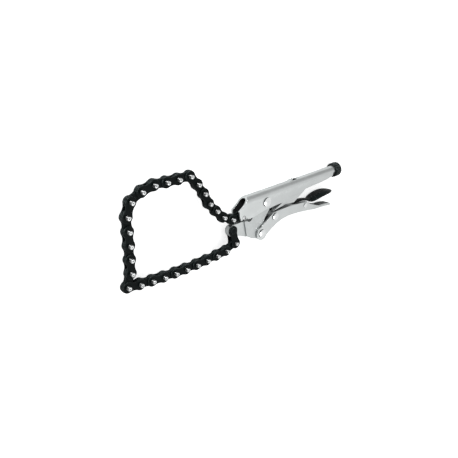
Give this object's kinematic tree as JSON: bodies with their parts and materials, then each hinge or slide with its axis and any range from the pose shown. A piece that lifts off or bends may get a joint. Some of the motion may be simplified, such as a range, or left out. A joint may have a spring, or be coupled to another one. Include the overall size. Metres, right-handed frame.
{
  "type": "chain clamp",
  "caption": "Locking pliers with a roller chain riveted to the lower jaw, looped round and hooked into the upper handle; lies on its side.",
  "frame": {"origin": "middle of the tool's footprint, on the surface it lies on", "axes": "+X from the chain loop to the adjusting knob, +Y from the main lever to the handle's back, +Z along the rivets"},
  "size_m": [0.3702, 0.1258, 0.0203],
  "materials": {
    "satin_nickel": "satin nickel plate",
    "forged_steel": "plated, softly worn",
    "bright_steel": "bright",
    "black_oxide": "oiled black oxide on steel",
    "black_grip": "dipped, semi-gloss"
  },
  "bodies": {
    "handle": {"upper_handle": "satin_nickel", "jaw_pivot_rivet": "bright_steel", "tension_spring": "bright_steel"},
    "jaw": {"lower_jaw": "forged_steel", "chain_anchor_rivet": "black_oxide", "jaw_lever_rivet": "bright_steel", "spring_pin": "bright_steel", "chain_link_29": "black_oxide"},
    "lever": {"main_lever": "satin_nickel", "toggle_link_rivet": "bright_steel", "release_lever_rivet": "bright_steel"},
    "toggle": {"toggle_link": "forged_steel"},
    "release": {"release_lever": "forged_steel", "release_grip": "black_grip"},
    "screw": {"adjusting_screw": "bright_steel"},
    "knob": {"adjusting_knob": "black_oxide"},
    "link_01": {"chain_link_01": "black_oxide"},
    "link_02": {"chain_link_02": "black_oxide"},
    "link_03": {"chain_link_03": "black_oxide"},
    "link_04": {"chain_link_04": "black_oxide"},
    "link_05": {"chain_link_05": "black_oxide"},
    "link_06": {"chain_link_06": "black_oxide"},
    "link_07": {"chain_link_07": "black_oxide"},
    "link_08": {"chain_link_08": "black_oxide"},
    "link_09": {"chain_link_09": "black_oxide"},
    "link_10": {"chain_link_10": "black_oxide"},
    "link_11": {"chain_link_11": "black_oxide"},
    "link_12": {"chain_link_12": "black_oxide"},
    "link_13": {"chain_link_13": "black_oxide"},
    "link_14": {"chain_link_14": "black_oxide"},
    "link_15": {"chain_link_15": "black_oxide"},
    "link_16": {"chain_link_16": "black_oxide"},
    "link_17": {"chain_link_17": "black_oxide"},
    "link_18": {"chain_link_18": "black_oxide"},
    "link_19": {"chain_link_19": "black_oxide"},
    "link_20": {"chain_link_20": "black_oxide"},
    "link_21": {"chain_link_21": "black_oxide"},
    "link_22": {"chain_link_22": "black_oxide"},
    "link_23": {"chain_link_23": "black_oxide"},
    "link_24": {"chain_link_24": "black_oxide"},
    "link_25": {"chain_link_25": "black_oxide"},
    "link_26": {"chain_link_26": "black_oxide"},
    "link_27": {"chain_link_27": "black_oxide"},
    "link_28": {"chain_link_28": "black_oxide"}
  },
  "joints": [
    {"name": "jaw_swing", "type": "hinge", "parent": "handle", "child": "jaw", "pos_m": [0.0306, -0.0069, 0.01017], "axis": [0, 0, 1], "range_deg": [0, 6.05], "deforming": ["tension_spring"]},
    {"name": "lever_swing", "type": "hinge", "parent": "jaw", "child": "lever", "pos_m": [0.0226, -0.048, 0.01017], "axis": [0, 0, 1], "range_deg": [-30, 0]},
    {"name": "toggle_swing", "type": "hinge", "parent": "lever", "child": "toggle", "pos_m": [0.0472, -0.0315, 0.01017], "axis": [0, 0, 1], "range_deg": [0, 45.65]},
    {"name": "release_swing", "type": "hinge", "parent": "lever", "child": "release", "pos_m": [0.1088, -0.0329, 0.01017], "axis": [0, 0, 1], "range_deg": [-7, 0]},
    {"name": "screw_feed", "type": "slide", "parent": "handle", "child": "screw", "axis": [1, 0, 0], "range_m": [0, 0.006]},
    {"name": "knob_turn", "type": "hinge", "parent": "screw", "child": "knob", "pos_m": [0.1806, 0.0011, 0.01017], "axis": [1, 0, 0], "range_deg": [0, 1500]},
    {"name": "chain_pin_01", "type": "hinge", "parent": "jaw", "child": "link_01", "pos_m": [-0.0258, -0.0303, 0.01017], "axis": [0, 0, 1], "range_deg": [-4.14, 0]},
    {"name": "chain_loop", "type": "hinge", "parent": "link_01", "child": "link_02", "pos_m": [-0.02121, -0.04873, 0.01017], "axis": [0, 0, 1], "range_deg": [0, 56.52]},
    {"name": "chain_pin_03", "type": "hinge", "parent": "link_02", "child": "link_03", "pos_m": [-0.03603, -0.05442, 0.01017], "axis": [0, 0, 1], "range_deg": [-7.14, 0]},
    {"name": "chain_pin_04", "type": "hinge", "parent": "link_03", "child": "link_04", "pos_m": [-0.05187, -0.05537, 0.01017], "axis": [0, 0, 1], "range_deg": [-19.41, 0]},
    {"name": "chain_pin_05", "type": "hinge", "parent": "link_04", "child": "link_05", "pos_m": [-0.06774, -0.0559, 0.01017], "axis": [0, 0, 1], "range_deg": [-11.51, 0]},
    {"name": "chain_pin_06", "type": "hinge", "parent": "link_05", "child": "link_06", "pos_m": [-0.08361, -0.05601, 0.01017], "axis": [0, 0, 1], "range_deg": [-6.76, 0]},
    {"name": "chain_pin_07", "type": "hinge", "parent": "link_06", "child": "link_07", "pos_m": [-0.09949, -0.05571, 0.01017], "axis": [0, 0, 1], "range_deg": [-6.06, 0]},
    {"name": "chain_pin_08", "type": "hinge", "parent": "link_07", "child": "link_08", "pos_m": [-0.11535, -0.05499, 0.01017], "axis": [0, 0, 1], "range_deg": [-8.91, 0]},
    {"name": "chain_pin_09", "type": "hinge", "parent": "link_08", "child": "link_09", "pos_m": [-0.13118, -0.05386, 0.01017], "axis": [0, 0, 1], "range_deg": [-13.7, 0]},
    {"name": "chain_pin_10", "type": "hinge", "parent": "link_09", "child": "link_10", "pos_m": [-0.14698, -0.05232, 0.01017], "axis": [0, 0, 1], "range_deg": [-17.46, 0]},
    {"name": "chain_pin_11", "type": "hinge", "parent": "link_10", "child": "link_11", "pos_m": [-0.16273, -0.05036, 0.01017], "axis": [0, 0, 1], "range_deg": [-16.42, 0]},
    {"name": "chain_pin_12", "type": "hinge", "parent": "link_11", "child": "link_12", "pos_m": [-0.17843, -0.04799, 0.01017], "axis": [0, 0, 1], "range_deg": [0, 117.23]},
    {"name": "chain_pin_13", "type": "hinge", "parent": "link_12", "child": "link_13", "pos_m": [-0.17274, -0.03317, 0.01017], "axis": [0, 0, 1], "range_deg": [-25.21, 0]},
    {"name": "chain_pin_14", "type": "hinge", "parent": "link_13", "child": "link_14", "pos_m": [-0.17199, -0.01731, 0.01017], "axis": [0, 0, 1], "range_deg": [-4.49, 0]},
    {"name": "chain_pin_29", "type": "hinge", "parent": "jaw", "child": "link_28", "pos_m": [-0.02624, -0.01529, 0.01017], "axis": [0, 0, 1], "range_deg": [0, 31.04]},
    {"name": "chain_pin_28", "type": "hinge", "parent": "link_28", "child": "link_27", "pos_m": [-0.04051, -0.00833, 0.01017], "axis": [0, 0, 1], "range_deg": [0, 26.91]},
    {"name": "chain_pin_27", "type": "hinge", "parent": "link_27", "child": "link_26", "pos_m": [-0.05153, 0.00309, 0.01017], "axis": [0, 0, 1], "range_deg": [-4.12, 0]},
    {"name": "chain_pin_26", "type": "hinge", "parent": "link_26", "child": "link_25", "pos_m": [-0.06195, 0.01507, 0.01017], "axis": [0, 0, 1], "range_deg": [0, 9.74]},
    {"name": "chain_pin_25", "type": "hinge", "parent": "link_25", "child": "link_24", "pos_m": [-0.06916, 0.02922, 0.01017], "axis": [0, 0, 1], "range_deg": [-20.31, 0]},
    {"name": "chain_pin_24", "type": "hinge", "parent": "link_24", "child": "link_23", "pos_m": [-0.07803, 0.04238, 0.01017], "axis": [0, 0, 1], "range_deg": [-17.61, 0]},
    {"name": "chain_pin_23", "type": "hinge", "parent": "link_23", "child": "link_22", "pos_m": [-0.08845, 0.05436, 0.01017], "axis": [0, 0, 1], "range_deg": [-61.25, 0]},
    {"name": "chain_pin_22", "type": "hinge", "parent": "link_22", "child": "link_21", "pos_m": [-0.10432, 0.05464, 0.01017], "axis": [0, 0, 1], "range_deg": [0, 9.55]},
    {"name": "chain_pin_21", "type": "hinge", "parent": "link_21", "child": "link_20", "pos_m": [-0.12019, 0.05519, 0.01017], "axis": [0, 0, 1], "range_deg": [0, 20.73]},
    {"name": "chain_pin_20", "type": "hinge", "parent": "link_20", "child": "link_19", "pos_m": [-0.13604, 0.05602, 0.01017], "axis": [0, 0, 1], "range_deg": [0, 11.43]},
    {"name": "chain_pin_19", "type": "hinge", "parent": "link_19", "child": "link_18", "pos_m": [-0.15157, 0.05272, 0.01017], "axis": [0, 0, 1], "range_deg": [0, 15.53]},
    {"name": "chain_pin_18", "type": "hinge", "parent": "link_18", "child": "link_17", "pos_m": [-0.16545, 0.04502, 0.01017], "axis": [0, 0, 1], "range_deg": [-12.66, 0]},
    {"name": "chain_pin_17", "type": "hinge", "parent": "link_17", "child": "link_16", "pos_m": [-0.1714, 0.0303, 0.01017], "axis": [0, 0, 1], "range_deg": [0, 3.32]},
    {"name": "chain_pin_16", "type": "hinge", "parent": "link_16", "child": "link_15", "pos_m": [-0.17132, 0.01443, 0.01017], "axis": [0, 0, 1], "range_deg": [0, 23.16]}
  ],
  "couplings": [
    {"joint": "jaw_swing", "follows": "lever_swing", "ratio": -0.2},
    {"joint": "toggle_swing", "follows": "lever_swing", "ratio": -1.52},
    {"joint": "knob_turn", "follows": "screw_feed", "rad_per_m": 4188.8},
    {"joint": "chain_pin_01", "follows": "chain_loop", "ratio": -0.057837},
    {"joint": "chain_pin_03", "follows": "chain_loop", "ratio": -0.10033},
    {"joint": "chain_pin_04", "follows": "chain_loop", "ratio": -0.27399},
    {"joint": "chain_pin_05", "follows": "chain_loop", "ratio": -0.16215},
    {"joint": "chain_pin_06", "follows": "chain_loop", "ratio": -0.094993},
    {"joint": "chain_pin_07", "follows": "chain_loop", "ratio": -0.085107},
    {"joint": "chain_pin_08", "follows": "chain_loop", "ratio": -0.12548},
    {"joint": "chain_pin_09", "follows": "chain_loop", "ratio": -0.19316},
    {"joint": "chain_pin_10", "follows": "chain_loop", "ratio": -0.24645},
    {"joint": "chain_pin_11", "follows": "chain_loop", "ratio": -0.23175},
    {"joint": "chain_pin_12", "follows": "chain_loop", "ratio": 1.6587},
    {"joint": "chain_pin_13", "follows": "chain_loop", "ratio": -0.35613},
    {"joint": "chain_pin_14", "follows": "chain_loop", "ratio": -0.062881},
    {"joint": "chain_pin_29", "follows": "chain_loop", "ratio": 0.43865},
    {"joint": "chain_pin_28", "follows": "chain_loop", "ratio": 0.38026},
    {"joint": "chain_pin_27", "follows": "chain_loop", "ratio": -0.057686},
    {"joint": "chain_pin_26", "follows": "chain_loop", "ratio": 0.13712},
    {"joint": "chain_pin_25", "follows": "chain_loop", "ratio": -0.28675},
    {"joint": "chain_pin_24", "follows": "chain_loop", "ratio": -0.24851},
    {"joint": "chain_pin_23", "follows": "chain_loop", "ratio": -0.86633},
    {"joint": "chain_pin_22", "follows": "chain_loop", "ratio": 0.13441},
    {"joint": "chain_pin_21", "follows": "chain_loop", "ratio": 0.29267},
    {"joint": "chain_pin_20", "follows": "chain_loop", "ratio": 0.16107},
    {"joint": "chain_pin_19", "follows": "chain_loop", "ratio": 0.21911},
    {"joint": "chain_pin_18", "follows": "chain_loop", "ratio": -0.17845},
    {"joint": "chain_pin_17", "follows": "chain_loop", "ratio": 0.046284},
    {"joint": "chain_pin_16", "follows": "chain_loop", "ratio": 0.32718}
  ]
}
